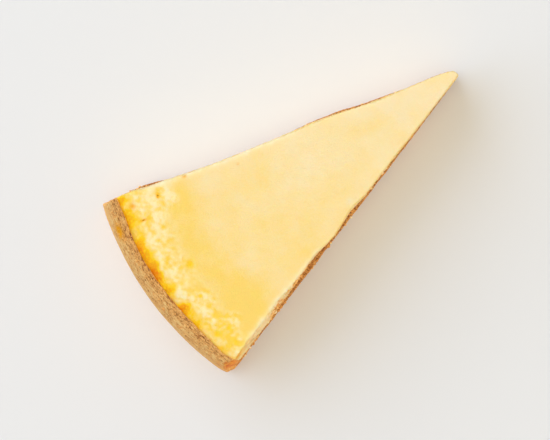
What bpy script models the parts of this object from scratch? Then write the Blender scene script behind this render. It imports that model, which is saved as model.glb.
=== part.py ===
"""A slice of baked cheesecake: a pastry base and outer wall, and the cream cheese filling that they hold.

The slice stands on its base as it was cut, seen by its own axes: +Z is up, the pointed end is towards -Y and
the pastry wall towards +Y. The origin is on the surface it stands on, under the middle of the slice.
Sizes below are in millimetres. The shape is worked out round the centre of the round cake, and then moved.
"""
import math

import bmesh
import bpy
from mathutils import Vector, noise

MM = 0.001

# Where the round cake's centre lies, seen from the middle of the slice
CAKE_CENTRE_X = -0.56
CAKE_CENTRE_Y = -47.14

# The two cuts meet a little past the cake's centre; angles are from +Y, towards +X
CUTS_MEET_X = 0.8
CUTS_MEET_Y = -28.2
LOW_CUT_ANGLE = math.radians(-16.06)
HIGH_CUT_ANGLE = math.radians(15.6)

# The pointed end is blunt and rounded, reaches further at the low cut, and leans back towards the top
NOSE_REACH = 5.2
NOSE_SKEW = 0.8
NOSE_ROUND = 1.2
NOSE_LEAN = 1.5

# Pastry
BASE_THICKNESS = 5.5
BASE_UNEVENNESS = 0.55
BASE_WANDER_SPACING = 17.0
BASE_BOTTOM_EDGE = 0.5
WALL_FOOT_RADIUS = 117.0
WALL_LENGTH = 77.0
WALL_TOP_RADIUS = 114.8
WALL_HEIGHT = 39.8
WALL_INNER_RADIUS = 109.1
WALL_INNER_FILLET = 3.2
WALL_UNEVENNESS = 0.3
WALL_INNER_SPACING = 7.0
WALL_INNER_STRETCH = 0.4
WALL_OUTER_SPACING = 13.0
RIM_UNEVENNESS = 0.45
RIM_SPACING = 8.0

# The rim falls off in a rounded shoulder outside and a small lip inside, from this share of the wall's height
SHOULDER_START = 0.82
SHOULDER_DROP = 2.0
SHOULDER_CURVE = 3.5
SHOULDER_INSET = 0.7
LIP_DROP = 0.35
LIP_CURVE = 4.0

# The wall's end at the low cut is rounded, and its end at the high cut is chipped near the top
LOW_CORNER_ROUND = 3.2
HIGH_CORNER_CHIP = 0.9
CHIP_ALONG = (104.0, 110.0)
CHIP_RISE = (0.3, 0.9)

# Filling
LAYER_GAP = 0.3
FIELD_HEIGHT = 38.3
POINT_FALL = 1.2
POINT_FALL_ALONG = (-25.0, 80.0)
PUFF_HEIGHT = 1.3
PUFF_FROM_WALL = 5.5
PUFF_WIDTH = 4.6
WALL_GROOVE_DEPTH = 0.5
WALL_GROOVE_WIDTH = 1.3
BLISTER_HEIGHT = 0.55
BLISTER_SPACING = 5.5
BLISTERS_BEGIN = (0.5, 2.5)
BLISTERS_END = (8.0, 16.0)
SWELL_HEIGHT = 0.3
SWELL_SPACING = 26.0

# The filling's cut faces lean in towards the top, more near the wall on the low side
LOW_LEAN = 0.62
LOW_LEAN_MORE = 1.9
LOW_LEAN_ALONG = (62.0, 86.0)
HIGH_LEAN = 0.8

# The knife leaves soft ripples on both layers, and the pastry breaks in small crags
CUT_RIPPLE = 0.22
CUT_RIPPLE_SPACING = 11.0
CUT_RIPPLE_STRETCH = 0.6
CUT_CRAG = 0.35
CUT_CRAG_SPACING = 3.6

# Where each uneven surface reads the smooth noise, so that no two of them are alike
BASE_NOISE = 60.0
RIPPLE_NOISE = 30.0
CRAG_NOISE = 90.0
WALL_INNER_NOISE = 40.0
WALL_OUTER_NOISE = 80.0
RIM_NOISE = 10.0
SWELL_NOISE = 5.0
BLISTER_NOISE = 20.0

# How each cut strays outwards, and how far the base stands out past the filling, as bumps along the cut:
# place along Y from the cake's centre, half-width and size, which is below 0 where the base has crumbled back
HIGH_CUT_STRAYS = ((-14.0, 6.0, 0.4), (25.0, 13.0, 1.0), (64.0, 17.0, -1.6), (94.0, 8.0, 1.3))
LOW_CUT_STRAYS = ((14.0, 16.0, 0.2),)
HIGH_LEDGE = ((18.0, 16.0, 0.7), (64.0, 16.0, -1.0), (92.0, 5.0, 1.1))
LOW_LEDGE = (
    (40.0, 80.0, 0.55), (18.0, 9.0, 0.3), (38.5, 4.5, 1.1),
    (59.5, 6.0, 1.4), (68.0, 5.0, 0.9), (78.0, 5.0, 0.6),
)
LEAST_LEDGE = 0.1
LEDGE_ALONG = (-20.0, -8.0)

# The ledge fades out in the corner between the base and the wall, over this height
LEDGE_FADE = 4.0

# The wall is thinner at its two cut ends: place across the slice, half-width and size
WALL_THINS = ((0.06, 0.1, 1.4), (0.7, 0.1, 0.45), (1.0, 0.06, 0.6))

# How finely the two solids are divided, and which of their edges stay sharp
ACROSS_CELLS = 30
ALONG_CELLS = 46
ALONG_CROWDING = 1.4
EDGE_COLUMN = 0.02
BASE_LEVELS = (0.0, 0.22, 0.6, 1.0)
BODY_LEVELS = (0.0, 0.035, 0.09, 0.2, 0.36, 0.52, 0.68, 0.82, 0.93, 1.0)
WALL_CELLS = 4
SHARP_ANGLE = math.radians(40.0)


def ease(start, end, value):
    """Rise smoothly from 0 at start to 1 at end."""
    share = min(max((value - start) / (end - start), 0.0), 1.0)
    return share * share * (3.0 - 2.0 * share)


def bumps(along, features):
    """Add up round bumps, each with its place, half-width and size."""
    return sum(size * math.exp(-(((along - middle) / width) ** 2)) for middle, width, size in features)


def roughness(x, y, z, spacing):
    """Smooth unevenness from -1 to 1 with about that spacing."""
    return noise.noise(Vector((x / spacing, y / spacing, z / spacing)))


def cut_direction(across):
    """Unit direction from where the cuts meet, with across from 0 at the low cut to 1 at the high cut."""
    angle = LOW_CUT_ANGLE + across * (HIGH_CUT_ANGLE - LOW_CUT_ANGLE)
    return math.sin(angle), math.cos(angle)


def distance_to_radius(across, radius):
    """Distance in that direction to the circle of that radius round the cake's centre."""
    x, y = cut_direction(across)
    along = CUTS_MEET_X * x + CUTS_MEET_Y * y
    return -along + math.sqrt(along * along + radius * radius - CUTS_MEET_X ** 2 - CUTS_MEET_Y ** 2)


def distance_to_nose(across, height):
    """Distance in that direction to the blunt pointed end."""
    lead = 2.0 * across - 1.0
    rounding = NOSE_ROUND * (1.0 - math.sqrt(1.0 - lead * lead))
    return NOSE_REACH + NOSE_SKEW * across + rounding + NOSE_LEAN * height / WALL_HEIGHT


def base_top(across, along):
    """Height of the base's upper face, which wanders a little along each cut."""
    low = roughness(-BASE_NOISE, along, 0.0, BASE_WANDER_SPACING)
    high = roughness(BASE_NOISE, along, 0.0, BASE_WANDER_SPACING)
    return BASE_THICKNESS + BASE_UNEVENNESS * (low + across * (high - low))


def cut_inset(side, along, height, ledge_share):
    """How far a cut face lies inside its straight line: side is -1 on the low cut and 1 on the high cut."""
    rise = max(height - BASE_THICKNESS, 0.0) / (WALL_HEIGHT - BASE_THICKNESS)
    if side > 0:
        strays, ledge, lean = HIGH_CUT_STRAYS, HIGH_LEDGE, HIGH_LEAN
        inset = HIGH_CORNER_CHIP * ease(*CHIP_ALONG, along) * ease(*CHIP_RISE, rise)
    else:
        strays, ledge = LOW_CUT_STRAYS, LOW_LEDGE
        lean = LOW_LEAN + LOW_LEAN_MORE * ease(*LOW_LEAN_ALONG, along)
        inset = 0.0
    inset += lean * rise - bumps(along, strays)
    inset += ledge_share * (LEAST_LEDGE + bumps(along, ledge) * ease(*LEDGE_ALONG, along))
    ripple = roughness(side * RIPPLE_NOISE, along, height * CUT_RIPPLE_STRETCH, CUT_RIPPLE_SPACING)
    crag = roughness(side * CRAG_NOISE, along, height, CUT_CRAG_SPACING)
    inset += CUT_RIPPLE * ripple + (1.0 - ledge_share) * CUT_CRAG * crag
    return inset


def slice_point(across, distance, height, ledge_share):
    """A point of the slice, in metres, from its direction, its distance and its height."""
    x, y = cut_direction(across)
    x = CUTS_MEET_X + distance * x
    y = CUTS_MEET_Y + distance * y
    low = cut_inset(-1, y, height, ledge_share)
    high = cut_inset(1, y, height, ledge_share)
    x += (1.0 - across) * low - across * high
    return Vector((x + CAKE_CENTRE_X, y + CAKE_CENTRE_Y, height)) * MM


def wall_inner_radius(across, height):
    """Radius of the pastry wall's inner face, with a rounded corner where it meets the base."""
    radius = WALL_INNER_RADIUS + bumps(across, WALL_THINS)
    place = (across * WALL_LENGTH, WALL_INNER_NOISE, height * WALL_INNER_STRETCH)
    radius += WALL_UNEVENNESS * roughness(*place, WALL_INNER_SPACING)
    above_base = height - base_top(across, WALL_TOP_RADIUS)
    if above_base < WALL_INNER_FILLET:
        low = WALL_INNER_FILLET - max(above_base, 0.0)
        radius -= WALL_INNER_FILLET - math.sqrt(max(WALL_INNER_FILLET ** 2 - low * low, 0.0))
    return radius


def wall_outer_radius(across, height):
    """Radius of the pastry wall's outer face, rounded off where the low cut ends it."""
    rise = height / WALL_HEIGHT
    radius = WALL_FOOT_RADIUS + (WALL_TOP_RADIUS - WALL_FOOT_RADIUS) * rise
    place = (across * WALL_LENGTH, WALL_OUTER_NOISE, height)
    radius += 0.5 * WALL_UNEVENNESS * roughness(*place, WALL_OUTER_SPACING)
    short = max(LOW_CORNER_ROUND - across * WALL_LENGTH, 0.0)
    return radius - LOW_CORNER_ROUND + math.sqrt(LOW_CORNER_ROUND ** 2 - short * short)


def rim_height(across):
    """Height of the pastry rim, a little uneven round the cake."""
    return WALL_HEIGHT + RIM_UNEVENNESS * roughness(across * WALL_LENGTH, RIM_NOISE, 0.0, RIM_SPACING)


def filling_top(x, y, from_wall):
    """Height of the baked top: sunken in the middle, and puffed and blistered near the wall."""
    height = FIELD_HEIGHT - POINT_FALL * (1.0 - ease(*POINT_FALL_ALONG, y))
    height += SWELL_HEIGHT * roughness(x, y, SWELL_NOISE, SWELL_SPACING)
    height += PUFF_HEIGHT * math.exp(-(((from_wall - PUFF_FROM_WALL) / PUFF_WIDTH) ** 2))
    height -= WALL_GROOVE_DEPTH * math.exp(-from_wall / WALL_GROOVE_WIDTH)
    blistered = ease(*BLISTERS_BEGIN, from_wall) * (1.0 - ease(*BLISTERS_END, from_wall))
    height += BLISTER_HEIGHT * blistered * roughness(x, y, BLISTER_NOISE, BLISTER_SPACING)
    return height


def column(index):
    """Place across the slice of a column of points, with a narrow column along each cut."""
    if index in (0, ACROSS_CELLS):
        return index / ACROSS_CELLS
    return EDGE_COLUMN + (index - 1) * (1.0 - 2.0 * EDGE_COLUMN) / (ACROSS_CELLS - 2)


def row(index):
    """Place from the pointed end to the wall of a row of points, with the rows closer near the wall."""
    return 1.0 - (1.0 - index / ALONG_CELLS) ** ALONG_CROWDING


def pastry_point(i, j, k):
    """Where a corner of the pastry's cells lies; where j and k run on past the base, it is in the wall."""
    across = column(i)
    base_cells = len(BASE_LEVELS) - 1
    through_wall = max(j - ALONG_CELLS, 0) / WALL_CELLS
    along = CUTS_MEET_Y + distance_to_radius(across, WALL_INNER_RADIUS) * row(min(j, ALONG_CELLS))
    bottom = base_top(across, along)
    if k <= base_cells:
        height = bottom * BASE_LEVELS[k]
    else:
        level = BODY_LEVELS[k - base_cells]
        height = bottom + (rim_height(across) - bottom) * level
        fall = SHOULDER_DROP * through_wall ** SHOULDER_CURVE + LIP_DROP * (1.0 - through_wall) ** LIP_CURVE
        height -= fall * ease(SHOULDER_START, 1.0, level)
    inner = distance_to_radius(across, wall_inner_radius(across, height))
    outer = distance_to_radius(across, wall_outer_radius(across, height))
    if k == base_cells + len(BODY_LEVELS) - 1:
        outer -= SHOULDER_INSET
    bottom_edge = BASE_BOTTOM_EDGE if k == 0 else 0.0
    outer -= bottom_edge
    if j >= ALONG_CELLS:
        distance = inner + (outer - inner) * through_wall
    else:
        start = distance_to_nose(across, height) + bottom_edge
        distance = start + (inner - start) * row(j)
    point = slice_point(across, distance, height, ease(BASE_THICKNESS, BASE_THICKNESS + LEDGE_FADE, height))
    point.x += bottom_edge * (1.0 - 2.0 * across) * MM
    return point


def filling_point(i, j, k):
    """Where a corner of the filling's cells lies, between the base and the baked top."""
    across = column(i)

    def distance_at(height):
        outer = distance_to_radius(across, wall_inner_radius(across, height - LAYER_GAP) - LAYER_GAP)
        start = distance_to_nose(across, height) + LAYER_GAP
        return start + (outer - start) * row(j)

    top = slice_point(across, distance_at(FIELD_HEIGHT), FIELD_HEIGHT, 1.0)
    x = top.x / MM - CAKE_CENTRE_X
    y = top.y / MM - CAKE_CENTRE_Y
    from_wall = wall_inner_radius(across, FIELD_HEIGHT) - LAYER_GAP - math.hypot(x, y)
    along = CUTS_MEET_Y + distance_to_radius(across, WALL_INNER_RADIUS) * row(j)
    bottom = base_top(across, along) + LAYER_GAP
    height = bottom + (filling_top(x, y, from_wall) - bottom) * BODY_LEVELS[k]
    return slice_point(across, distance_at(height), height, 1.0)


def solid_from_cells(name, cells, flat_levels, point, colour, surface_roughness):
    """Make the closed skin of a block of cells: cells holds the (along, up) cells of its section.

    A level in flat_levels is hidden and even, so one face spans it from cut to cut in each row.
    """
    mesh = bmesh.new()
    corners = {}

    def corner(i, j, k):
        if (i, j, k) not in corners:
            corners[i, j, k] = mesh.verts.new(point(i, j, k))
        return corners[i, j, k]

    def face(*places):
        mesh.faces.new([corner(*place) for place in places])

    for j, k in sorted(cells):
        for i in range(ACROSS_CELLS):
            if (j - 1, k) not in cells:
                face((i, j, k), (i + 1, j, k), (i + 1, j, k + 1), (i, j, k + 1))
            if (j + 1, k) not in cells:
                face((i + 1, j + 1, k), (i, j + 1, k), (i, j + 1, k + 1), (i + 1, j + 1, k + 1))
            edge_column = i in (0, ACROSS_CELLS - 1)
            if (j, k - 1) not in cells and (edge_column or k not in flat_levels):
                face((i, j, k), (i, j + 1, k), (i + 1, j + 1, k), (i + 1, j, k))
            if (j, k + 1) not in cells and (edge_column or k + 1 not in flat_levels):
                face((i, j, k + 1), (i + 1, j, k + 1), (i + 1, j + 1, k + 1), (i, j + 1, k + 1))
        for i in (0, ACROSS_CELLS):
            face((i, j, k), (i, j, k + 1), (i, j + 1, k + 1), (i, j + 1, k))

    for level in flat_levels:
        rows = sorted({j for j, k in cells if ((j, level) in cells) != ((j, level - 1) in cells)})
        for j in rows:
            near = range(1, ACROSS_CELLS) if j == rows[0] else (1, ACROSS_CELLS - 1)
            far = range(1, ACROSS_CELLS) if j == rows[-1] else (1, ACROSS_CELLS - 1)
            face(*[(i, j, level) for i in near], *[(i, j + 1, level) for i in reversed(far)])

    bmesh.ops.recalc_face_normals(mesh, faces=mesh.faces)
    data = bpy.data.meshes.new(name)
    mesh.to_mesh(data)
    mesh.free()
    data.shade_smooth()
    data.set_sharp_from_angle(angle=SHARP_ANGLE)
    piece = bpy.data.objects.new(name, data)
    bpy.context.scene.collection.objects.link(piece)

    material = bpy.data.materials.new(name)
    material.use_nodes = True
    shader = material.node_tree.nodes["Principled BSDF"]
    shader.inputs["Base Color"].default_value = (*colour, 1.0)
    shader.inputs["Roughness"].default_value = surface_roughness
    shader.inputs["Metallic"].default_value = 0.0
    data.materials.append(material)
    return piece


def pastry_crust():
    """The base plate and the outer wall, pressed from one sheet of dough."""
    base_cells = len(BASE_LEVELS) - 1
    top_cell = base_cells + len(BODY_LEVELS) - 1
    cells = {(j, k) for j in range(ALONG_CELLS) for k in range(base_cells)}
    cells |= {(j, k) for j in range(ALONG_CELLS, ALONG_CELLS + WALL_CELLS) for k in range(top_cell)}
    return solid_from_cells("pastry_crust", cells, (0, base_cells), pastry_point, (0.55, 0.33, 0.15), 0.8)


def cheese_filling():
    """The baked filling, which fills the crust up to its rim."""
    cells = {(j, k) for j in range(ALONG_CELLS) for k in range(len(BODY_LEVELS) - 1)}
    return solid_from_cells("cheese_filling", cells, (0,), filling_point, (0.95, 0.75, 0.36), 0.5)


for leftover in list(bpy.data.objects):
    bpy.data.objects.remove(leftover, do_unlink=True)
pastry_crust()
cheese_filling()
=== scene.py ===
"""A slice of baked cheesecake, finished and lit as food on a pale table.

The slice is made in the order that it is baked and cut: the pastry crust, the filling that sets inside it,
and the crumbs that the knife leaves. Then come the table, the light and the camera.
Materials, lights and the camera use metres. Names that end in MM and the places of a mesh's points are in
millimetres, and those places are taken from the centre of the round cake.
"""
import math

import bmesh
import bpy
import numpy as np
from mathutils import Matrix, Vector, noise
from mathutils.bvhtree import BVHTree


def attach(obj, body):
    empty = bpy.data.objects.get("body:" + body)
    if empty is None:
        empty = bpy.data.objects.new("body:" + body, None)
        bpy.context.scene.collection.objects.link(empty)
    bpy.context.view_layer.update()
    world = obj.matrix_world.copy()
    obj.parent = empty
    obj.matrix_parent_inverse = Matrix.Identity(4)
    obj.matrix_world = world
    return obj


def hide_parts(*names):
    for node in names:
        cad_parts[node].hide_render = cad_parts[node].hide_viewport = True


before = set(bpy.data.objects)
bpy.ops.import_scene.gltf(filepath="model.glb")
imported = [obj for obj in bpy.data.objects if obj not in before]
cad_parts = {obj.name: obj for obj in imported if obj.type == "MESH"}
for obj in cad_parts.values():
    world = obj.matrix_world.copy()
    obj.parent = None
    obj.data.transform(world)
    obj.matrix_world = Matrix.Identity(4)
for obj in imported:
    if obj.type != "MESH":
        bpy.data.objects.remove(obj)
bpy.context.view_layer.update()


# Pastry crust
# The crust is one sheet of sweet short dough, pressed into a round tin and baked with the filling in it.
# It is dry and crumbly: its outer face is smooth from the tin, and the knife tears its cuts.

CAKE_CENTRE_MM = np.array((-0.56, -47.14, 0.0))
CRUST_SPACING = 0.00047
SHARP_CREASE = math.radians(40.0)
FLAT_ENOUGH = math.radians(15.0)
SQUARE_ENOUGH = math.radians(60.0)
MERGE_DISTANCE = 1e-6
LUMP_REACH = 0.72
WALL_OUTER_RADIUS_MM = 114.0
WALL_INNER_RADIUS_MM = 109.1
RIM_LOWEST_MM = 36.5
CRUST_CLUMP_MM = 1.5
CRUST_GRAIN_MM = 0.85
CRUST_CLUMP_RISE_MM = 0.15
CRUST_GRAIN_RISE_MM = 0.2
GRAIN_STRETCH = 1.5
TIN_FACE_SHARE = 0.5
RIM_SHARE = 0.75
LOW_END_MM = (-27.0, -32.0)

# A drop on the rim and the dark line beside it: way out from the cake's centre and along the wall from its
# middle, and half-widths in the same two directions
DRIP_PLACE_MM = (112.9, 27.0)
DRIP_HALF_SIZE_MM = (1.2, 2.8)
DRIP_LINE_PLACE_MM = (111.5, 26.0)
DRIP_LINE_HALF_SIZE_MM = (0.3, 2.4)


def put_in_scene(name, data):
    """Make an object of that mesh, lamp or camera in the scene."""
    made = bpy.data.objects.new(name, data)
    bpy.context.scene.collection.objects.link(made)
    return made


def bake_modifiers(piece):
    """Put what a piece's modifiers make into its mesh."""
    plain = piece.data
    evaluated = piece.evaluated_get(bpy.context.evaluated_depsgraph_get())
    piece.data = bpy.data.meshes.new_from_object(evaluated)
    piece.modifiers.clear()
    bpy.data.meshes.remove(plain)


def even_skin(node_name, piece_name, spacing, rounds):
    """Copy a solid's skin as small even faces on its curved form, with the edges softened a little."""
    shape = bmesh.new()
    shape.from_mesh(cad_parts[node_name].data)
    bmesh.ops.remove_doubles(shape, verts=shape.verts, dist=MERGE_DISTANCE)
    bmesh.ops.join_triangles(
        shape, faces=shape.faces, angle_face_threshold=FLAT_ENOUGH, angle_shape_threshold=SQUARE_ENOUGH
    )
    crease = shape.edges.layers.float.new("crease_edge")
    for edge in shape.edges:
        if edge.is_manifold and edge.calc_face_angle() > SHARP_CREASE:
            edge[crease] = 1.0
    coarse = bpy.data.meshes.new(piece_name)
    shape.to_mesh(coarse)
    shape.free()

    piece = put_in_scene(piece_name, coarse)
    curved = piece.modifiers.new("curved", "SUBSURF")
    curved.levels = curved.render_levels = 2
    form = BVHTree.FromObject(piece, bpy.context.evaluated_depsgraph_get())
    even = piece.modifiers.new("even", "REMESH")
    even.mode = "VOXEL"
    even.voxel_size = spacing
    bake_modifiers(piece)
    for vertex in piece.data.vertices:
        vertex.co = form.find_nearest(vertex.co)[0]
    softened = piece.modifiers.new("softened", "SMOOTH")
    softened.factor = 0.5
    softened.iterations = rounds
    bake_modifiers(piece)
    piece.data.materials.clear()
    piece.data.shade_smooth()
    return piece


def skin_points(piece):
    """Places from the round cake's centre, in millimetres, and outward directions of a piece's points."""
    count = len(piece.data.vertices)
    places = np.empty(count * 3)
    directions = np.empty(count * 3)
    piece.data.vertices.foreach_get("co", places)
    piece.data.vertex_normals.foreach_get("vector", directions)
    return places.reshape(-1, 3) * 1000.0 - CAKE_CENTRE_MM, directions.reshape(-1, 3)


def move_points(piece, places):
    """Put a piece's points at those places from the round cake's centre, in millimetres."""
    piece.data.vertices.foreach_set("co", ((places + CAKE_CENTRE_MM) * 0.001).ravel())
    piece.data.update()


def store(piece, name, values):
    """Keep one value for each point, for the piece's material."""
    attribute = piece.data.attributes.new(name, "FLOAT", "POINT")
    attribute.data.foreach_set("value", np.asarray(values, np.float32))


def ease(start, end, values):
    """Rise smoothly from 0 at start to 1 at end."""
    share = np.clip((values - start) / (end - start), 0.0, 1.0)
    return share * share * (3.0 - 2.0 * share)


def between(values, start, full, fading, end):
    """Rise smoothly from 0 at start to 1 at full, and sink again from 1 at fading to 0 at end."""
    return ease(start, full, values) * (1.0 - ease(fading, end, values))


def swells(points, spacing, seed):
    """Smooth unevenness, mostly from -0.5 to 0.5, with rises about that far apart."""
    shift = Vector((17.3, -9.1, 5.7)) * seed
    return np.array([noise.noise(Vector(point) / spacing + shift) for point in points])


def lumps(points, spacing, seed, fewer=0.0):
    """Round lumps up to 1 high, about one to each spacing; fewer is the share of them left out."""
    shift = Vector((11.9, 23.7, -7.3)) * seed
    heights = np.empty(len(points))
    for index, point in enumerate(points):
        distances, centres = noise.voronoi(Vector(point) / spacing + shift)
        size = max(abs(noise.cell(centres[0] * 31.7)) - fewer, 0.0) / (1.0 - fewer)
        heights[index] = math.sqrt(size) * max(1.0 - (distances[0] / LUMP_REACH) ** 2, 0.0)
    return heights


def round_cake(places):
    """Places in the cake's own round directions: out from its centre, round it and up."""
    radius = np.hypot(places[:, 0], places[:, 1])
    return np.stack((radius, np.arctan2(places[:, 0], places[:, 1]) * radius, places[:, 2]), axis=1)


def soft_spot(first, second, middle, half_size):
    """A soft spot, 1 in its middle; first and second say where the points are in its two directions."""
    return np.exp(-(((first - middle[0]) / half_size[0]) ** 2) - ((second - middle[1]) / half_size[1]) ** 2)


crust = even_skin("pastry_crust", "crust", CRUST_SPACING, 1)
places, directions = skin_points(crust)
polar = round_cake(places)
radius, around, height = polar.T
outward = (directions[:, 0] * places[:, 0] + directions[:, 1] * places[:, 1]) / radius
on_tin = ease(0.6, 0.85, outward) * ease(WALL_OUTER_RADIUS_MM - 2.5, WALL_OUTER_RADIUS_MM - 1.0, radius)
on_tin *= 1.0 - 0.8 * ease(26.0, 34.0, height)
on_rim = ease(0.4, 0.8, directions[:, 2]) * ease(RIM_LOWEST_MM, RIM_LOWEST_MM + 1.0, height)
off_table = ease(0.1, 0.8, height)

drawn_out = polar / (1.0, GRAIN_STRETCH, 1.0)
clumps = lumps(drawn_out, CRUST_CLUMP_MM, 1)
grains = lumps(drawn_out, CRUST_GRAIN_MM, 2)
rise = CRUST_CLUMP_RISE_MM * (clumps - 0.35) + CRUST_GRAIN_RISE_MM * (grains - 0.35)
rise *= (1.0 - (1.0 - TIN_FACE_SHARE) * on_tin) * (1.0 - (1.0 - RIM_SHARE) * on_rim) * off_table
move_points(crust, places + directions * rise[:, None])

# The low end of the wall is caramelised. Spots on the rim's inner edge are painted dark as shade in the seam
# beside the filling. A drop of filling has baked dry on the rim, with a dark line along its inner side.
low_end = ease(*LOW_END_MM, around) * ease(0.25, 0.8, 0.5 * swells(places, 1.4, 22) - directions[:, 0])
low_end *= ease(104.0, 109.0, radius) * (0.35 + 0.65 * ease(8.0, 28.0, height))
seam_shade_and_drip_line = (1.0 - ease(0.3, 1.3, radius - WALL_INNER_RADIUS_MM)) * ease(0.0, 0.3, swells(places, 3.2, 12))
drip = soft_spot(radius, around, DRIP_PLACE_MM, DRIP_HALF_SIZE_MM) * on_rim
drip_line = soft_spot(radius, around, DRIP_LINE_PLACE_MM, DRIP_LINE_HALF_SIZE_MM)
seam_shade_and_drip_line = np.maximum(seam_shade_and_drip_line * on_rim, drip_line * on_rim)
store(crust, "lumpiness", 0.5 * clumps + 0.5 * grains)
store(crust, "caramel", low_end)
store(crust, "seam_shade_and_drip_line", seam_shade_and_drip_line)
store(crust, "drip", np.minimum(1.4 * drip, 1.0))
store(crust, "base", (1.0 - ease(5.0, 14.0, height)) * (1.0 - 0.5 * on_tin))
store(crust, "tin_face", on_tin)
store(crust, "drawn_out", ease(0.0, 0.6, directions[:, 2]) * ease(30.0, 36.0, height))

CRUST_PALE = (255, 220, 150)
CRUST_GOLDEN = (243, 181, 104)
CRUST_DARK = (150, 84, 42)
CARAMEL_LIGHT = (250, 168, 54)
CARAMEL_DARK = (216, 98, 8)
DRIP_YELLOW = (255, 176, 24)
CRUST_ROUGHNESS = 0.85
CRUST_SHINE = 0.25
CRUST_GRAIN_SIZE = 0.00043
CRUST_STREAK_WIDTH = 0.00031
CRUST_STREAK_LENGTH = 0.0028
BAKED_PATCH_SIZE = 0.006
BAKED_SPOT_SIZE = 0.0016
CARAMEL_SPOT_SIZE = 0.0022
OUTER_HALF_FROM = 0.1112
OUTER_HALF_TO = 0.1124
CRUST_BUMP = 0.00022


def colour_of(shown):
    """A colour as a screen shows it, from 0 to 255, as the values that light is worked out with."""
    shares = [value / 255.0 for value in shown]
    linear = [share / 12.92 if share <= 0.04045 else ((share + 0.055) / 1.055) ** 2.4 for share in shares]
    return linear + [1.0]


def new_group(name, inputs, outputs):
    """Start a node group; inputs and outputs give each socket's name and kind."""
    group = bpy.data.node_groups.new(name, "ShaderNodeTree")
    for label, kind in inputs.items():
        group.interface.new_socket(name=label, in_out="INPUT", socket_type="NodeSocket" + kind)
    for label, kind in outputs.items():
        group.interface.new_socket(name=label, in_out="OUTPUT", socket_type="NodeSocket" + kind)
    return group, group.nodes.new("NodeGroupInput").outputs, group.nodes.new("NodeGroupOutput").inputs


def add_node(tree, kind, inputs, **settings):
    """Add a node; inputs gives its sockets either a value or another node's output."""
    made = tree.nodes.new("ShaderNode" + kind)
    for name, value in settings.items():
        setattr(made, name, value)
    for socket, value in inputs.items():
        if isinstance(value, bpy.types.NodeSocket):
            tree.links.new(value, made.inputs[socket])
        else:
            made.inputs[socket].default_value = value
    return made


def reckon(tree, operation, first, second=0.0):
    """Work out a sum on one or two values."""
    return add_node(tree, "Math", {0: first, 1: second}, operation=operation).outputs[0]


def total(tree, first, *others):
    """Add several values up."""
    for other in others:
        first = reckon(tree, "ADD", first, other)
    return first


def spread(tree, value, low, high, to_low=0.0, to_high=1.0):
    """Stretch a value's range from low and high to to_low and to_high, and cut it off there."""
    inputs = {"Value": value, "From Min": low, "From Max": high, "To Min": to_low, "To Max": to_high}
    return add_node(tree, "MapRange", inputs).outputs[0]


def blend_colours(tree, share, first, second):
    """Mix two colours, by a share from 0 for the first to 1 for the second."""
    return add_node(tree, "Mix", {0: share, 6: first, 7: second}, data_type="RGBA").outputs[2]


def spots_of(tree, place, size, detail=2.0, roughness=0.5):
    """Smooth noise from 0 to 1 with spots of about that size."""
    inputs = {"Vector": place, "Scale": 1.0 / size, "Detail": detail, "Roughness": roughness}
    return add_node(tree, "TexNoise", inputs).outputs["Fac"]


def stored(tree, name):
    """One of the values that the mesh keeps for its points."""
    return add_node(tree, "Attribute", {}, attribute_name=name).outputs["Fac"]


def place_group(tree, group, inputs):
    """Put a node group into a material and return its outputs."""
    return add_node(tree, "Group", inputs, node_tree=group).outputs


def new_material(name, roughness):
    """Start a material; returns its tree, its shader and the place on the slice."""
    material = bpy.data.materials.new(name)
    material.use_nodes = True
    tree = material.node_tree
    shader = tree.nodes["Principled BSDF"]
    shader.inputs["Roughness"].default_value = roughness
    return material, tree, shader, add_node(tree, "TexCoord", {}).outputs["Object"]


def roughen(tree, shader, height, depth):
    """Let the light show fine relief of that depth."""
    bump = add_node(tree, "Bump", {"Height": height, "Distance": depth, "Strength": 1.0})
    tree.links.new(bump.outputs[0], shader.inputs["Normal"])


# What baking does to a colour: golden first, then dark
toasting, given, result = new_group(
    "toasting", {"Pale": "Color", "Golden": "Color", "Dark": "Color", "Toast": "Float"}, {"Colour": "Color"}
)
golden = blend_colours(toasting, spread(toasting, given["Toast"], 0.0, 0.5), given["Pale"], given["Golden"])
darker = blend_colours(toasting, spread(toasting, given["Toast"], 0.5, 1.0), golden, given["Dark"])
toasting.links.new(darker, result["Colour"])

# A fine crumb: grains of that size, with crevices between some of them
fine_crumb, given, result = new_group(
    "fine_crumb", {"Place": "Vector", "Size": "Float"}, {"Grain": "Float", "Crevice": "Float"}
)
scale = reckon(fine_crumb, "DIVIDE", 1.0, given["Size"])
inputs = {"Vector": given["Place"], "Scale": scale, "Detail": 3.0, "Roughness": 0.7}
grain = add_node(fine_crumb, "TexNoise", inputs).outputs["Fac"]
fine_crumb.links.new(spread(fine_crumb, grain, 0.32, 0.68), result["Grain"])
cells = add_node(fine_crumb, "TexVoronoi", {"Vector": given["Place"], "Scale": scale}, feature="SMOOTH_F1")
crevice = reckon(fine_crumb, "MULTIPLY", spread(fine_crumb, cells.outputs["Distance"], 0.4, 0.75), grain)
fine_crumb.links.new(spread(fine_crumb, crevice, 0.12, 0.42), result["Crevice"])

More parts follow.
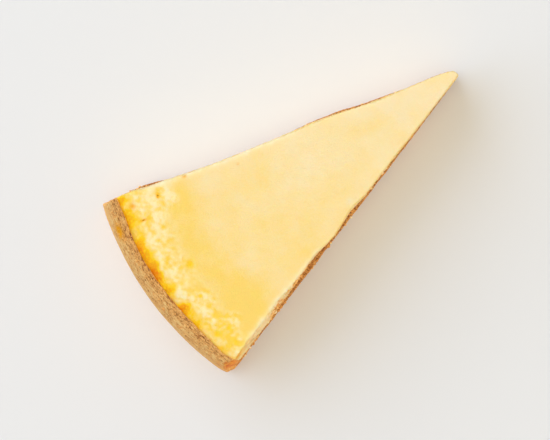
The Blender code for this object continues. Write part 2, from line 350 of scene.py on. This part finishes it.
# Directions round the cake, in metres: out from its centre, round it and up
round_place, given, result = new_group(
    "round_place", {"Place": "Vector"}, {"Out": "Float", "Round": "Float", "Up": "Float"}
)
centre = tuple(CAKE_CENTRE_MM * 0.001)
from_centre = add_node(round_place, "VectorMath", {0: given["Place"], 1: centre}, operation="SUBTRACT")
parts = add_node(round_place, "SeparateXYZ", {0: from_centre.outputs[0]}).outputs
squared_x = reckon(round_place, "MULTIPLY", parts[0], parts[0])
squared_y = reckon(round_place, "MULTIPLY", parts[1], parts[1])
out = reckon(round_place, "SQRT", total(round_place, squared_x, squared_y))
turn = reckon(round_place, "ARCTAN2", parts[0], parts[1])
round_place.links.new(out, result["Out"])
round_place.links.new(reckon(round_place, "MULTIPLY", turn, out), result["Round"])
round_place.links.new(parts[2], result["Up"])

pastry, tree, shader, place = new_material("pastry", CRUST_ROUGHNESS)
way = place_group(tree, round_place, {"Place": place})
short_round = reckon(tree, "DIVIDE", way["Round"], GRAIN_STRETCH)
grain_place = add_node(tree, "CombineXYZ", {0: way["Out"], 1: short_round, 2: way["Up"]}).outputs[0]
crumb = place_group(tree, fine_crumb, {"Place": grain_place, "Size": CRUST_GRAIN_SIZE})
streak_round = reckon(tree, "MULTIPLY", way["Round"], CRUST_STREAK_WIDTH / CRUST_STREAK_LENGTH)
streak_place = add_node(tree, "CombineXYZ", {0: way["Out"], 1: streak_round, 2: way["Up"]}).outputs[0]
streaks = spread(tree, spots_of(tree, streak_place, CRUST_STREAK_WIDTH, 2.0, 0.6), 0.38, 0.62, -0.5, 0.5)
streaks = reckon(tree, "MULTIPLY", streaks, spread(tree, stored(tree, "drawn_out"), 0.0, 1.0, 0.3, 1.0))
outer_half = spread(tree, way["Out"], OUTER_HALF_FROM, OUTER_HALF_TO)

# The grain's own tone and streaks, with painted shade: the crevices and low valleys between grains are
# darker.
detail = total(
    tree,
    spread(tree, crumb["Grain"], 0.0, 1.0, 0.3, -0.3),
    spread(tree, crumb["Crevice"], 0.0, 1.0, 0.0, 0.2),
    spread(tree, stored(tree, "lumpiness"), 0.0, 0.7, 0.12, -0.1),
    reckon(tree, "MULTIPLY", streaks, -0.5),
)
roughened = spread(tree, stored(tree, "tin_face"), 0.0, 1.0, 1.0, TIN_FACE_SHARE)
# The toast also darkens spots on the rim's inner edge, as painted shade in the seam beside the filling.
toast = total(
    tree,
    spread(tree, spots_of(tree, place, BAKED_PATCH_SIZE), 0.3, 0.7, 0.34, 0.5),
    spread(tree, spots_of(tree, place, BAKED_SPOT_SIZE, 3.0), 0.35, 0.65, -0.08, 0.08),
    reckon(tree, "MULTIPLY", detail, roughened),
    spread(tree, outer_half, 0.0, 1.0, 0.06, -0.07),
    reckon(tree, "MULTIPLY", stored(tree, "base"), 0.22),
    reckon(tree, "MULTIPLY", stored(tree, "seam_shade_and_drip_line"), 0.4),
)
crust_colours = {
    "Pale": colour_of(CRUST_PALE),
    "Golden": colour_of(CRUST_GOLDEN),
    "Dark": colour_of(CRUST_DARK),
}
baked = place_group(tree, toasting, crust_colours | {"Toast": toast})["Colour"]
boiled_down = spread(tree, spots_of(tree, place, CARAMEL_SPOT_SIZE, 3.0), 0.4, 0.6)
caramel = blend_colours(tree, boiled_down, colour_of(CARAMEL_LIGHT), colour_of(CARAMEL_DARK))
between_grains = spread(tree, crumb["Grain"], 0.0, 1.0, 1.0, 0.75)
caramel_share = reckon(tree, "MULTIPLY", stored(tree, "caramel"), between_grains)
baked = blend_colours(tree, caramel_share, baked, caramel)
baked = blend_colours(tree, stored(tree, "drip"), baked, colour_of(DRIP_YELLOW))
tree.links.new(baked, shader.inputs["Base Color"])
shader.inputs["Specular IOR Level"].default_value = CRUST_SHINE
relief = total(tree, crumb["Grain"], reckon(tree, "MULTIPLY", crumb["Crevice"], -1.0), streaks)
roughen(tree, shader, reckon(tree, "MULTIPLY", relief, roughened), CRUST_BUMP)

crust.data.materials.append(pastry)
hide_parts("pastry_crust")
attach(crust, "root")


# Cheese filling
# The filling is cream cheese, eggs and sugar, poured into the crust and baked until it sets like firm cream.
# Its smooth yellow skin puffs and browns beside the wall, and the knife leaves its cuts matt and pale.

FILLING_SPACING = 0.0005
TOP_LOWEST_MM = 36.6
LAYER_GAP_MM = 0.3
WALL_TUCK_MM = 0.35
EDGE_STEPS = 160
BLISTERS_END_MM = (7.5, 14.0)
DEEP_YELLOW_ENDS_MM = (16.0, 33.0)
EDGE_PALE_AND_HIGHLIGHT_MM = 1.3
CUT_HEIGHT_MM = 38.0
BROWNED_WIDTH_MM = 2.3
FIRST_SMEAR_MM = (52.0, 68.0, 80.0, 88.0)
SECOND_SMEAR_MM = (89.0, 93.0, 96.0, 99.0)
SKIN_WAVE_RISE_MM = 0.08
SKIN_RIPPLE_RISE_MM = 0.04
LARGE_BLISTER_MM = 3.0
LARGE_BLISTER_RISE_MM = 0.18
SMALL_BLISTER_MM = 1.5
SMALL_BLISTER_RISE_MM = 0.12
PALE_BLISTER_RISE_MM = 0.1
BROWNED_RIPPLE_RISE_MM = 0.14
BURST_RIM_RISE_MM = 0.14
BURST_DEPTH_MM = 0.16
MARK_DEPTH_MM = 0.3
PIT_SPACING_MM = 2.3
PIT_DEPTH_MM = 0.45
PITS_LEFT_OUT = 0.62
KNIFE_STREAK_RISE_MM = 0.16
CUT_WAVE_RISE_MM = 0.2
FACING_ASIDE = (0.6, 0.85)
UPRIGHT = (1.0, 1.0, 0.12)

# Where the skin is browned beside the wall: place along the wall from its middle and half-width, both in
# millimetres, and strength
BROWNED_STRETCHES = (
    (35.8, 1.6, 0.55), (30.5, 3.0, 0.36), (26.8, 2.6, 0.36), (18.2, 3.0, 0.6),
    (14.0, 3.0, 0.35), (7.0, 5.0, 0.82), (-0.8, 2.0, 0.45), (-8.8, 2.2, 0.85),
    (-12.0, 2.0, 0.35), (-16.6, 2.8, 0.5), (-28.5, 2.5, 0.3),
)

# Where the skin is yellower (above 0) or paler (below 0): x, y and radius in millimetres, and strength
SKIN_PATCHES = (
    (20.5, 83.5, 4.5, 0.2), (33.0, 91.5, 3.6, -1.5), (30.0, 87.0, 2.6, -1.0), (3.0, 13.0, 4.0, 0.25),
    (7.5, 6.0, 3.0, -0.5), (6.0, 41.0, 9.0, -0.3), (-13.5, 37.0, 1.5, -0.6), (-9.0, 62.0, 9.0, 0.1),
)

# Blisters that burst and sank: x, y and radius in millimetres
BURST_BLISTERS = (
    (2.4, 96.1, 1.9), (-9.0, 99.9, 1.1), (-23.4, 103.2, 1.9), (-24.1, 98.5, 1.2), (-29.6, 99.4, 1.1),
)

# Small dark marks on the skin: x, y, half-length, half-width in millimetres, direction in degrees, strength
DARK_MARKS = (
    (24.8, 100.2, 1.1, 0.35, 72.0, 0.85),
    (28.8, 91.0, 0.8, 0.32, 143.5, 1.1),
    (28.7, 79.1, 0.8, 0.5, 90.0, 0.45),
    (31.2, 100.5, 1.2, 1.1, 0.0, 0.5),
    (20.9, 61.2, 0.6, 0.4, 120.0, 0.25),
)

filling = even_skin("cheese_filling", "filling", FILLING_SPACING, 2)
places, directions = skin_points(filling)
polar = round_cake(places)
radius, around, height = polar.T
flat = places * (1.0, 1.0, 0.0)
on_top = ease(0.55, 0.9, directions[:, 2])
on_cut = ease(*FACING_ASIDE, np.abs(directions[:, 0])) * (1.0 - on_top)
on_back = ease(0.5, 0.9, directions[:, 1]) * (1.0 - on_top)
on_under = ease(0.5, 0.9, -directions[:, 2])
top_height = ease(TOP_LOWEST_MM - 2.0, TOP_LOWEST_MM, height)

near_wall = radius > WALL_INNER_RADIUS_MM - 3.0
steps = np.linspace(around[near_wall].min(), around[near_wall].max(), EDGE_STEPS)
edge = np.array([radius[near_wall & (np.abs(around - step) < 1.0)].max() for step in steps])
from_wall = np.interp(around, steps, edge) - radius

skin = np.maximum(on_top, 1.0 - ease(0.8, 2.0, from_wall)) * top_height

rows = np.linspace(places[:, 1].min() + 1.0, places[:, 1].max() - 1.0, EDGE_STEPS)
near_row = [(on_top > 0.5) & (np.abs(places[:, 1] - row) < 1.0) for row in rows]
low_edge = np.interp(places[:, 1], rows, [places[chosen, 0].min() for chosen in near_row])
high_edge = np.interp(places[:, 1], rows, [places[chosen, 0].max() for chosen in near_row])
from_low_cut = places[:, 0] - low_edge
from_high_cut = high_edge - places[:, 0]
# The cuts' top edges are paler where the skin is cut off, and carry a painted highlight along their
# rounding.
low_edge_pale_and_highlight = np.exp(-((from_low_cut / EDGE_PALE_AND_HIGHLIGHT_MM) ** 2)) * ease(50.0, 64.0, places[:, 1])
high_edge_pale_and_highlight = np.exp(-((from_high_cut / EDGE_PALE_AND_HIGHLIGHT_MM) ** 2)) * ease(36.0, 44.0, places[:, 1])
edge_pale_and_highlight = np.maximum(low_edge_pale_and_highlight, high_edge_pale_and_highlight) * ease(4.0, 14.0, from_wall)
edge_pale_and_highlight *= 0.75 + 0.7 * swells(places, 3.0, 16)

wander = swells(flat, 8.0, 3)
farther_in = 7.0 * ease(6.0, 24.0, around)
zone = ease(-0.5, 1.5, from_wall) * (1.0 - ease(*BLISTERS_END_MM, from_wall + 6.0 * wander - farther_in))
large_lumps = lumps(flat, LARGE_BLISTER_MM, 4)
small_lumps = lumps(flat, SMALL_BLISTER_MM, 5)
streaky = polar * (1.0, 0.7, 0.0)
paleness = 0.75 * swells(streaky, 3.2, 13) + 0.7 * swells(flat, 1.3, 14) + 0.4 * (large_lumps - 0.35)
paleness += 0.1 - 0.3 * ease(-8.0, -26.0, around)
rise = SKIN_WAVE_RISE_MM * swells(flat, 11.0, 6) + SKIN_RIPPLE_RISE_MM * swells(flat, 3.5, 7)
blisters = LARGE_BLISTER_RISE_MM * (large_lumps - 0.4) + SMALL_BLISTER_RISE_MM * (small_lumps - 0.4)
rise += zone * (blisters + PALE_BLISTER_RISE_MM * paleness)
richness = 0.6 * (1.0 - ease(*DEEP_YELLOW_ENDS_MM, from_wall)) + 0.3 * swells(flat, 12.0, 17)
for x, y, size, strength in SKIN_PATCHES:
    richness += strength * np.exp(-(np.hypot(places[:, 0] - x, places[:, 1] - y) / size) ** 2)
browned = 0.05 + 0.13 * ease(-4.0, -1.0, around)
for middle, width, strength in BROWNED_STRETCHES:
    browned += strength * np.exp(-(((around - middle) / width) ** 2))
reach = BROWNED_WIDTH_MM * (1.0 + 0.9 * swells(flat, 2.6, 15)) * (1.0 + 0.5 * ease(14.0, 24.0, around))
browned_edge = np.exp(-((np.maximum(from_wall - 1.0, 0.0) / reach) ** 2))
rise += BROWNED_RIPPLE_RISE_MM * browned_edge * swells(flat, 1.5, 8)

burst = np.zeros(len(places))
for x, y, size in BURST_BLISTERS:
    away = np.hypot(places[:, 0] - x, places[:, 1] - y) / size
    burst_rim = BURST_RIM_RISE_MM * np.exp(-(((away - 1.0) / 0.35) ** 2))
    rise += burst_rim - BURST_DEPTH_MM * np.exp(-((away / 0.6) ** 2))
    burst = np.maximum(burst, np.minimum(1.4 * np.exp(-((away / 0.7) ** 2)), 1.0))

marks = np.zeros(len(places))
for x, y, length, width, turned, strength in DARK_MARKS:
    cosine, sine = math.cos(math.radians(turned)), math.sin(math.radians(turned))
    along = (places[:, 0] - x) * cosine + (places[:, 1] - y) * sine
    aside = (places[:, 1] - y) * cosine - (places[:, 0] - x) * sine
    marks = np.maximum(marks, strength * soft_spot(along, aside, (0.0, 0.0), (length, width)))
rise -= MARK_DEPTH_MM * marks

knife = places * UPRIGHT
pits = lumps(places, PIT_SPACING_MM, 9, fewer=PITS_LEFT_OUT)
cut_relief = KNIFE_STREAK_RISE_MM * swells(knife, 1.3, 10) + CUT_WAVE_RISE_MM * swells(places, 2.8, 11)
cut_relief -= PIT_DEPTH_MM * pits
push = on_top * rise + on_cut * cut_relief + LAYER_GAP_MM * on_under
push += (LAYER_GAP_MM + WALL_TUCK_MM) * on_back
move_points(filling, places + directions * push[:, None])

# The knife has dragged pastry across the low cut in two stretches, and juices colour it beside the wall
on_low_cut = on_cut * ease(0.0, -0.5, directions[:, 0])
dragged = between(places[:, 1], *FIRST_SMEAR_MM)
dragged += 0.9 * between(places[:, 1], *SECOND_SMEAR_MM)
dragged *= on_low_cut
smear = swells(knife, 1.6, 18) + 0.6 * swells(places, 5.0, 21)
dragged *= ease(-0.4, 0.5, smear) * (1.0 - 0.5 * height / CUT_HEIGHT_MM)
fade = np.where(around < 0.0, 5.0, 3.0)
beside_wall = np.exp(-np.maximum(from_wall, 0.0) / fade) * ease(6.0, 34.0, height)
juice = on_low_cut * (1.0 - ease(1.0, 7.5, from_wall + 3.0 * swells(places, 3.0, 23)))
juice *= ease(16.0, 36.0, height)
upper_edge = ease(36.0, 38.0, height)
store(filling, "skin", skin)
store(filling, "richness", richness)
store(filling, "zone", zone * on_top)
store(filling, "paleness", 0.5 + paleness)
store(filling, "edge_pale_and_highlight", np.clip(edge_pale_and_highlight, 0.0, 1.0) * upper_edge)
store(filling, "dragged", dragged)
store(filling, "juice", juice)
store(filling, "browned", np.minimum(browned, 1.0) * browned_edge * skin)
store(filling, "burst", burst * on_top)
store(filling, "mark", marks * on_top)
store(filling, "pit", pits * on_cut)
store(filling, "near_crust", beside_wall * (1.0 - on_top))

SKIN_PALE = (250, 232, 188)
SKIN_YELLOW = (252, 225, 156)
SKIN_DEEP = (251, 218, 116)
BLISTER_PALE = (255, 238, 187)
BLISTER_YELLOW = (253, 214, 80)
BURST_YELLOW = (253, 212, 44)
BROWNED_GOLDEN = (255, 209, 18)
BROWNED_DARK = (240, 143, 0)
INSIDE_CREAM = (255, 229, 177)
INSIDE_SHADOW = (248, 202, 136)
NEAR_CRUST_YELLOW = (255, 214, 112)
# White for the cuts' top edges, as paler cut skin with a painted highlight, and for the curds
CURD_AND_EDGE_HIGHLIGHT_WHITE = (255, 241, 204)
SKIN_LAYER_AND_SHADE = (250, 208, 122)
JUICE_ORANGE = (250, 172, 54)
DRAGGED_CRUST = (214, 166, 90)
MARK_GOLDEN = (246, 178, 12)
MARK_BROWN = (84, 50, 8)
FILLING_ROUGHNESS = 0.5
CUT_ROUGHNESS = 1.0
FILLING_SHINE = 0.2
FILLING_SOFTNESS = 0.3
FILLING_DEPTH = 0.004
FILLING_DEPTHS_BY_COLOUR = (1.0, 0.55, 0.2)
FILLING_BUMP = 0.0001
FILLING_GRAIN_SIZE = 0.0006
SKIN_PATCH_SIZE = 0.006
BROWNED_SPOT_SIZE = 0.0011
CUT_HOLE_SIZE = 0.0009
KNIFE_STREAK_WIDTH = 0.0007
KNIFE_STREAK_NARROWING = 0.1
SKIN_CUT_FROM = 0.034
SKIN_CUT_TO = 0.037

cream, tree, shader, place = new_material("cream", FILLING_ROUGHNESS)
parts = add_node(tree, "SeparateXYZ", {0: place}).outputs
crumb = place_group(tree, fine_crumb, {"Place": place, "Size": FILLING_GRAIN_SIZE})
richness = total(
    tree,
    stored(tree, "richness"),
    spread(tree, parts[1], -0.05, 0.02, 0.15, 0.66),
    spread(tree, parts[0], -0.03, 0.03, 0.16, -0.16),
    spread(tree, spots_of(tree, place, SKIN_PATCH_SIZE, 3.0), 0.3, 0.7, -0.2, 0.2),
    spread(tree, crumb["Grain"], 0.0, 1.0, -0.12, 0.12),
)
yellowed = spread(tree, richness, 0.0, 0.7)
skin_colour = blend_colours(tree, yellowed, colour_of(SKIN_PALE), colour_of(SKIN_YELLOW))
deepened = spread(tree, richness, 0.7, 1.3)
skin_colour = blend_colours(tree, deepened, skin_colour, colour_of(SKIN_DEEP))
paleness = total(tree, stored(tree, "paleness"), spread(tree, crumb["Grain"], 0.0, 1.0, -0.15, 0.15))
paleness = spread(tree, paleness, 0.0, 1.0)
blister_colour = blend_colours(tree, paleness, colour_of(BLISTER_YELLOW), colour_of(BLISTER_PALE))
skin_colour = blend_colours(tree, stored(tree, "zone"), skin_colour, blister_colour)
skin_colour = blend_colours(tree, stored(tree, "burst"), skin_colour, colour_of(BURST_YELLOW))
unevenly = spread(tree, spots_of(tree, place, BROWNED_SPOT_SIZE, 3.0, 0.6), 0.3, 0.65, 0.75, 1.2)
toast = reckon(tree, "MULTIPLY", stored(tree, "browned"), unevenly)
colours = {"Golden": colour_of(BROWNED_GOLDEN), "Dark": colour_of(BROWNED_DARK)}
skin_colour = place_group(tree, toasting, colours | {"Pale": skin_colour, "Toast": toast})["Colour"]

# The cut shows a close crumb, with small holes and the upright streaks of the knife
knife_up = reckon(tree, "MULTIPLY", parts[2], KNIFE_STREAK_NARROWING)
knife_place = add_node(tree, "CombineXYZ", {0: parts[0], 1: parts[1], 2: knife_up}).outputs[0]
knife_streaks = spots_of(tree, knife_place, KNIFE_STREAK_WIDTH, 3.0, 0.6)
holes = place_group(tree, fine_crumb, {"Place": place, "Size": CUT_HOLE_SIZE})["Crevice"]
hollow = total(
    tree,
    reckon(tree, "MULTIPLY", stored(tree, "pit"), 0.5),
    reckon(tree, "MULTIPLY", holes, 0.22),
    spread(tree, knife_streaks, 0.35, 0.65, -0.1, 0.16),
    spread(tree, crumb["Grain"], 0.0, 1.0, 0.1, -0.1),
)
inside = blend_colours(tree, hollow, colour_of(INSIDE_CREAM), colour_of(INSIDE_SHADOW))
# Just under the top the cut turns darker yellow: the skin's own layer, deepened with painted shade below the
# top edge.
skin_layer_and_shade = spread(tree, parts[2], SKIN_CUT_FROM, SKIN_CUT_TO)
inside = blend_colours(tree, skin_layer_and_shade, inside, colour_of(SKIN_LAYER_AND_SHADE))
inside = blend_colours(tree, stored(tree, "near_crust"), inside, colour_of(NEAR_CRUST_YELLOW))
inside = blend_colours(tree, stored(tree, "dragged"), inside, colour_of(DRAGGED_CRUST))
inside = blend_colours(tree, stored(tree, "juice"), inside, colour_of(JUICE_ORANGE))
colour = blend_colours(tree, stored(tree, "skin"), inside, skin_colour)
# The cuts' top edges turn white: paler cut skin and a painted highlight.
colour = blend_colours(tree, stored(tree, "edge_pale_and_highlight"), colour, colour_of(CURD_AND_EDGE_HIGHLIGHT_WHITE))
colours = {"Pale": colour, "Golden": colour_of(MARK_GOLDEN), "Dark": colour_of(MARK_BROWN)}
colour = place_group(tree, toasting, colours | {"Toast": stored(tree, "mark")})["Colour"]
tree.links.new(colour, shader.inputs["Base Color"])
dullness = spread(tree, stored(tree, "skin"), 0.0, 1.0, CUT_ROUGHNESS, FILLING_ROUGHNESS)
tree.links.new(dullness, shader.inputs["Roughness"])
shader.inputs["Specular IOR Level"].default_value = FILLING_SHINE
shader.inputs["Subsurface Weight"].default_value = FILLING_SOFTNESS
shader.inputs["Subsurface Radius"].default_value = FILLING_DEPTHS_BY_COLOUR
shader.inputs["Subsurface Scale"].default_value = FILLING_DEPTH
cut_bump = reckon(tree, "SUBTRACT", total(tree, knife_streaks, crumb["Grain"]), holes)
cut_bump = reckon(tree, "MULTIPLY", cut_bump, spread(tree, stored(tree, "skin"), 0.0, 1.0, 3.0, 0.0))
roughen(tree, shader, total(tree, crumb["Grain"], cut_bump), FILLING_BUMP)

filling.data.materials.append(cream)
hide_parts("cheese_filling")
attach(filling, "root")


# Crumbs
# The knife breaks crumbs off the baked pastry of the base and the wall, and tears small curds off the cream.
# They cling where they land: along the foot of the cuts, in a smear on the low cut, on the wall's cut ends
# and on the rim.

CRUMB_SEED = 7
CRUMB_SIZE_MM = 0.22
CURD_SIZE_MM = 0.28
CRUMB_JAG = 0.2
LEAST_CHANCE = 1e-9
FOOT_CRUMBS = 300
DRAGGED_CRUMBS = 420
CRUST_CUT_CRUMBS = 240
RIM_CRUMBS = 150
FOOT_CURDS = 25
CRUST_CUT_CURDS = 25
BRINK_CURDS = 45
DRAGGED_CRUMBS_MM = (60.0, 66.0, 81.0, 87.0)
LOW_CURDS_MM = (60.0, 68.0, 88.0, 94.0)
CLEAN_STRETCH_MM = (36.0, 42.0, 87.0, 90.0)
TIP_ENDS_MM = 22.0
LOOSE_GRAIN_SIZE = 0.0004
LOOSE_BUMP = 0.0001
CURD_DEPTH = 0.001


def pick_spots(piece, chance, count, rng):
    """Pick that many points of a piece, more often where the chance is higher."""
    places, directions = skin_points(piece)
    weights = chance(places, directions) + LEAST_CHANCE
    picked = rng.choice(len(places), count, replace=False, p=weights / weights.sum())
    return places[picked]


def crumb_piece(name, spots, size, rng):
    """Join crumbs of uneven shape, one at each spot, into one piece; each keeps its own shade."""
    ball = bmesh.new()
    bmesh.ops.create_icosphere(ball, subdivisions=2, radius=1.0)
    points = np.array([vertex.co for vertex in ball.verts])
    faces = np.array([[vertex.index for vertex in face.verts] for face in ball.faces])
    ball.free()
    crumbs = []
    for spot in spots:
        turn = np.linalg.qr(rng.normal(size=(3, 3)))[0]
        shape = points * (1.0 + CRUMB_JAG * np.clip(rng.normal(size=(len(points), 1)), -1.5, 1.5))
        crumbs.append(spot + size * rng.lognormal(0.0, 0.42) * (shape * rng.uniform(0.6, 1.0, 3)) @ turn)
    mesh = bpy.data.meshes.new(name)
    corners = (np.concatenate(crumbs) + CAKE_CENTRE_MM) * 0.001
    all_faces = np.concatenate([faces + index * len(points) for index in range(len(crumbs))])
    mesh.from_pydata(corners.tolist(), [], all_faces.tolist())
    mesh.shade_smooth()
    piece = put_in_scene(name, mesh)
    store(piece, "shade", np.repeat(rng.uniform(0.0, 1.0, len(crumbs)), len(points)))
    return piece


def on_cuts(places, directions):
    """Which points lie on the cuts, without the clean stretch of the high cut."""
    along = places[:, 1]
    low = ease(*FACING_ASIDE, -directions[:, 0]) * (0.2 + 0.8 * ease(0.0, TIP_ENDS_MM, along))
    clean = between(along, *CLEAN_STRETCH_MM)
    high = ease(*FACING_ASIDE, directions[:, 0]) * (1.0 - clean) * 0.5 * ease(-8.0, -2.0, along)
    return (low + high) * ease(-0.2, 0.3, swells(places, 6.0, 19))


def at_foot(places, directions):
    """Chance of a crumb on the cream's cuts, greatest just above the base."""
    return on_cuts(places, directions) * np.exp(-np.maximum(places[:, 2] - 6.5, 0.0) / 0.9)


def dragged_across(places, directions):
    """Chance of a crumb dragged in a smear across the low cut near the wall."""
    along = between(places[:, 1], *DRAGGED_CRUMBS_MM)
    streaks = ease(-0.2, 0.5, swells(places * UPRIGHT, 1.6, 18))
    lower_down = 1.0 - 0.7 * places[:, 2] / CUT_HEIGHT_MM
    return along * streaks * lower_down * ease(*FACING_ASIDE, -directions[:, 0])


def on_crust_cut(places, directions):
    """Chance of a crumb on the pastry's own cuts."""
    return on_cuts(places, directions) * ease(0.8, 2.0, places[:, 2])


def on_crust_rim(places, directions):
    """Chance of a crumb on the rim."""
    return ease(0.5, 0.8, directions[:, 2]) * ease(37.0, 38.0, places[:, 2])


def at_low_brink(places, directions):
    """Chance of a curd of cream at the top of the low cut."""
    along = between(places[:, 1], *LOW_CURDS_MM)
    return along * ease(0.3, 0.6, -directions[:, 0]) * ease(35.5, 36.5, places[:, 2])


rng = np.random.default_rng(CRUMB_SEED)
spots = np.concatenate((
    pick_spots(filling, at_foot, FOOT_CRUMBS, rng),
    pick_spots(filling, dragged_across, DRAGGED_CRUMBS, rng),
    pick_spots(crust, on_crust_cut, CRUST_CUT_CRUMBS, rng),
    pick_spots(crust, on_crust_rim, RIM_CRUMBS, rng),
))
pastry_crumbs = crumb_piece("pastry_crumbs", spots, CRUMB_SIZE_MM, rng)
spots = np.concatenate((
    pick_spots(filling, at_foot, FOOT_CURDS, rng),
    pick_spots(crust, on_crust_cut, CRUST_CUT_CURDS, rng),
    pick_spots(filling, at_low_brink, BRINK_CURDS, rng),
))
cream_crumbs = crumb_piece("cream_crumbs", spots, CURD_SIZE_MM, rng)

loose_pastry, tree, shader, place = new_material("loose_pastry", CRUST_ROUGHNESS)
crumb = place_group(tree, fine_crumb, {"Place": place, "Size": LOOSE_GRAIN_SIZE})
toast = total(
    tree,
    spread(tree, stored(tree, "shade"), 0.0, 1.0, 0.15, 0.72),
    spread(tree, crumb["Grain"], 0.0, 1.0, 0.12, -0.12),
)
baked = place_group(tree, toasting, crust_colours | {"Toast": toast})["Colour"]
tree.links.new(baked, shader.inputs["Base Color"])
shader.inputs["Specular IOR Level"].default_value = CRUST_SHINE
roughen(tree, shader, crumb["Grain"], LOOSE_BUMP)

loose_cream, tree, shader, place = new_material("loose_cream", FILLING_ROUGHNESS)
crumb = place_group(tree, fine_crumb, {"Place": place, "Size": LOOSE_GRAIN_SIZE})
curd = blend_colours(tree, crumb["Grain"], colour_of(INSIDE_CREAM), colour_of(CURD_AND_EDGE_HIGHLIGHT_WHITE))
tree.links.new(curd, shader.inputs["Base Color"])
shader.inputs["Subsurface Weight"].default_value = FILLING_SOFTNESS
shader.inputs["Subsurface Scale"].default_value = CURD_DEPTH
roughen(tree, shader, crumb["Grain"], LOOSE_BUMP)

loose_pieces = ((pastry_crumbs, loose_pastry, "pastry"), (cream_crumbs, loose_cream, "filling"))
for piece, material, slot in loose_pieces:
    piece.data.materials.append(material)
    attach(piece, "root")


# Table
# A plain pale table top, painted matt, carries the slice.
# It is not part of the slice, and nothing is fixed to it.

TABLE_WIDTH = 3.0
TABLE_COLOUR = (227, 231, 237)
TABLE_ROUGHNESS = 0.7

board = bpy.data.meshes.new("table")
half = TABLE_WIDTH / 2.0
corners = [(-half, -half, 0.0), (half, -half, 0.0), (half, half, 0.0), (-half, half, 0.0)]
board.from_pydata(corners, [], [(0, 1, 2, 3)])
table = put_in_scene("table", board)
paint, _, shader, _ = new_material("matt_paint", TABLE_ROUGHNESS)
shader.inputs["Base Color"].default_value = colour_of(TABLE_COLOUR)
board.materials.append(paint)


# Light
# One large soft window light comes from the side of the high cut. A wide panel overhead, a warm reflector
# low down beside each cut and the pale room round the slice fill its shadows.

WINDOW_SIZE = (5.0, 3.0)
WINDOW_DISTANCE = 3.2
WINDOW_HEIGHT_ANGLE = math.radians(44.0)
WINDOW_DIRECTION = math.radians(58.0)
WINDOW_POWER = 90.0
WINDOW_COLOUR = (228, 238, 255)
PANEL_SIZE = (1.8, 1.8)
PANEL_HEIGHT = 2.6
PANEL_POWER = 14.0
PANEL_COLOUR = (255, 248, 234)
REFLECTOR_SIZE = (1.2, 1.2)
REFLECTOR_DISTANCE = 2.0
REFLECTOR_HEIGHT_ANGLE = math.radians(10.0)
REFLECTOR_COLOUR = (255, 238, 204)
REFLECTORS = {"low_reflector": (math.radians(-109.0), 25.0), "high_reflector": (math.radians(109.0), 15.0)}
ROOM_STRENGTH = 0.42
ROOM_COLOUR = (255, 243, 222)


def soft_light(name, size, power, colour, direction, distance):
    """Hang a soft light of that width and height in that direction from the slice, facing it."""
    light = bpy.data.lights.new(name, "AREA")
    light.shape = "RECTANGLE"
    light.size, light.size_y = size
    light.energy = power
    light.color = colour_of(colour)[:3]
    lamp = put_in_scene(name, light)
    lamp.location = distance * direction
    lamp.rotation_euler = direction.to_track_quat("Z", "Y").to_euler()
    return light


def towards(direction, height_angle):
    """The way to a light: direction is turned from +Y towards +X."""
    level = math.cos(height_angle)
    return Vector((level * math.sin(direction), level * math.cos(direction), math.sin(height_angle)))


to_window = towards(WINDOW_DIRECTION, WINDOW_HEIGHT_ANGLE)
soft_light("window", WINDOW_SIZE, WINDOW_POWER, WINDOW_COLOUR, to_window, WINDOW_DISTANCE)
overhead = Vector((0.0, 0.0, 1.0))
panel = soft_light("panel", PANEL_SIZE, PANEL_POWER, PANEL_COLOUR, overhead, PANEL_HEIGHT)
panel.use_shadow = False
for name, (turned, power) in REFLECTORS.items():
    aside = towards(turned, REFLECTOR_HEIGHT_ANGLE)
    reflector = soft_light(name, REFLECTOR_SIZE, power, REFLECTOR_COLOUR, aside, REFLECTOR_DISTANCE)
    reflector.use_shadow = False

room = bpy.data.worlds.new("room")
room.use_nodes = True
room.node_tree.nodes["Background"].inputs["Color"].default_value = colour_of(ROOM_COLOUR)
room.node_tree.nodes["Background"].inputs["Strength"].default_value = ROOM_STRENGTH
bpy.context.scene.world = room
bpy.context.scene.view_settings.view_transform = "Standard"


# Camera
# It looks straight down from a tripod with a long lens, turned so that the slice points to the upper right.
# From that height the sides of the slice hardly show.

CAMERA_HEIGHT = 1.14
SENSOR_WIDTH_MM = 36.0
TOP_HEIGHT = 0.04
VIEW_WIDTH = 0.1958
CAMERA_FROM_CENTRE_MM = np.array((-2.99, 62.48, 0.0))
CAMERA_TURN = math.radians(233.5)

lens = bpy.data.cameras.new("camera")
lens.sensor_width = SENSOR_WIDTH_MM
lens.lens = SENSOR_WIDTH_MM * (CAMERA_HEIGHT - TOP_HEIGHT) / VIEW_WIDTH
camera = put_in_scene("camera", lens)
camera.location = (CAKE_CENTRE_MM + CAMERA_FROM_CENTRE_MM) * 0.001
camera.location.z = CAMERA_HEIGHT
camera.rotation_euler = (0.0, 0.0, CAMERA_TURN)
bpy.context.scene.camera = camera
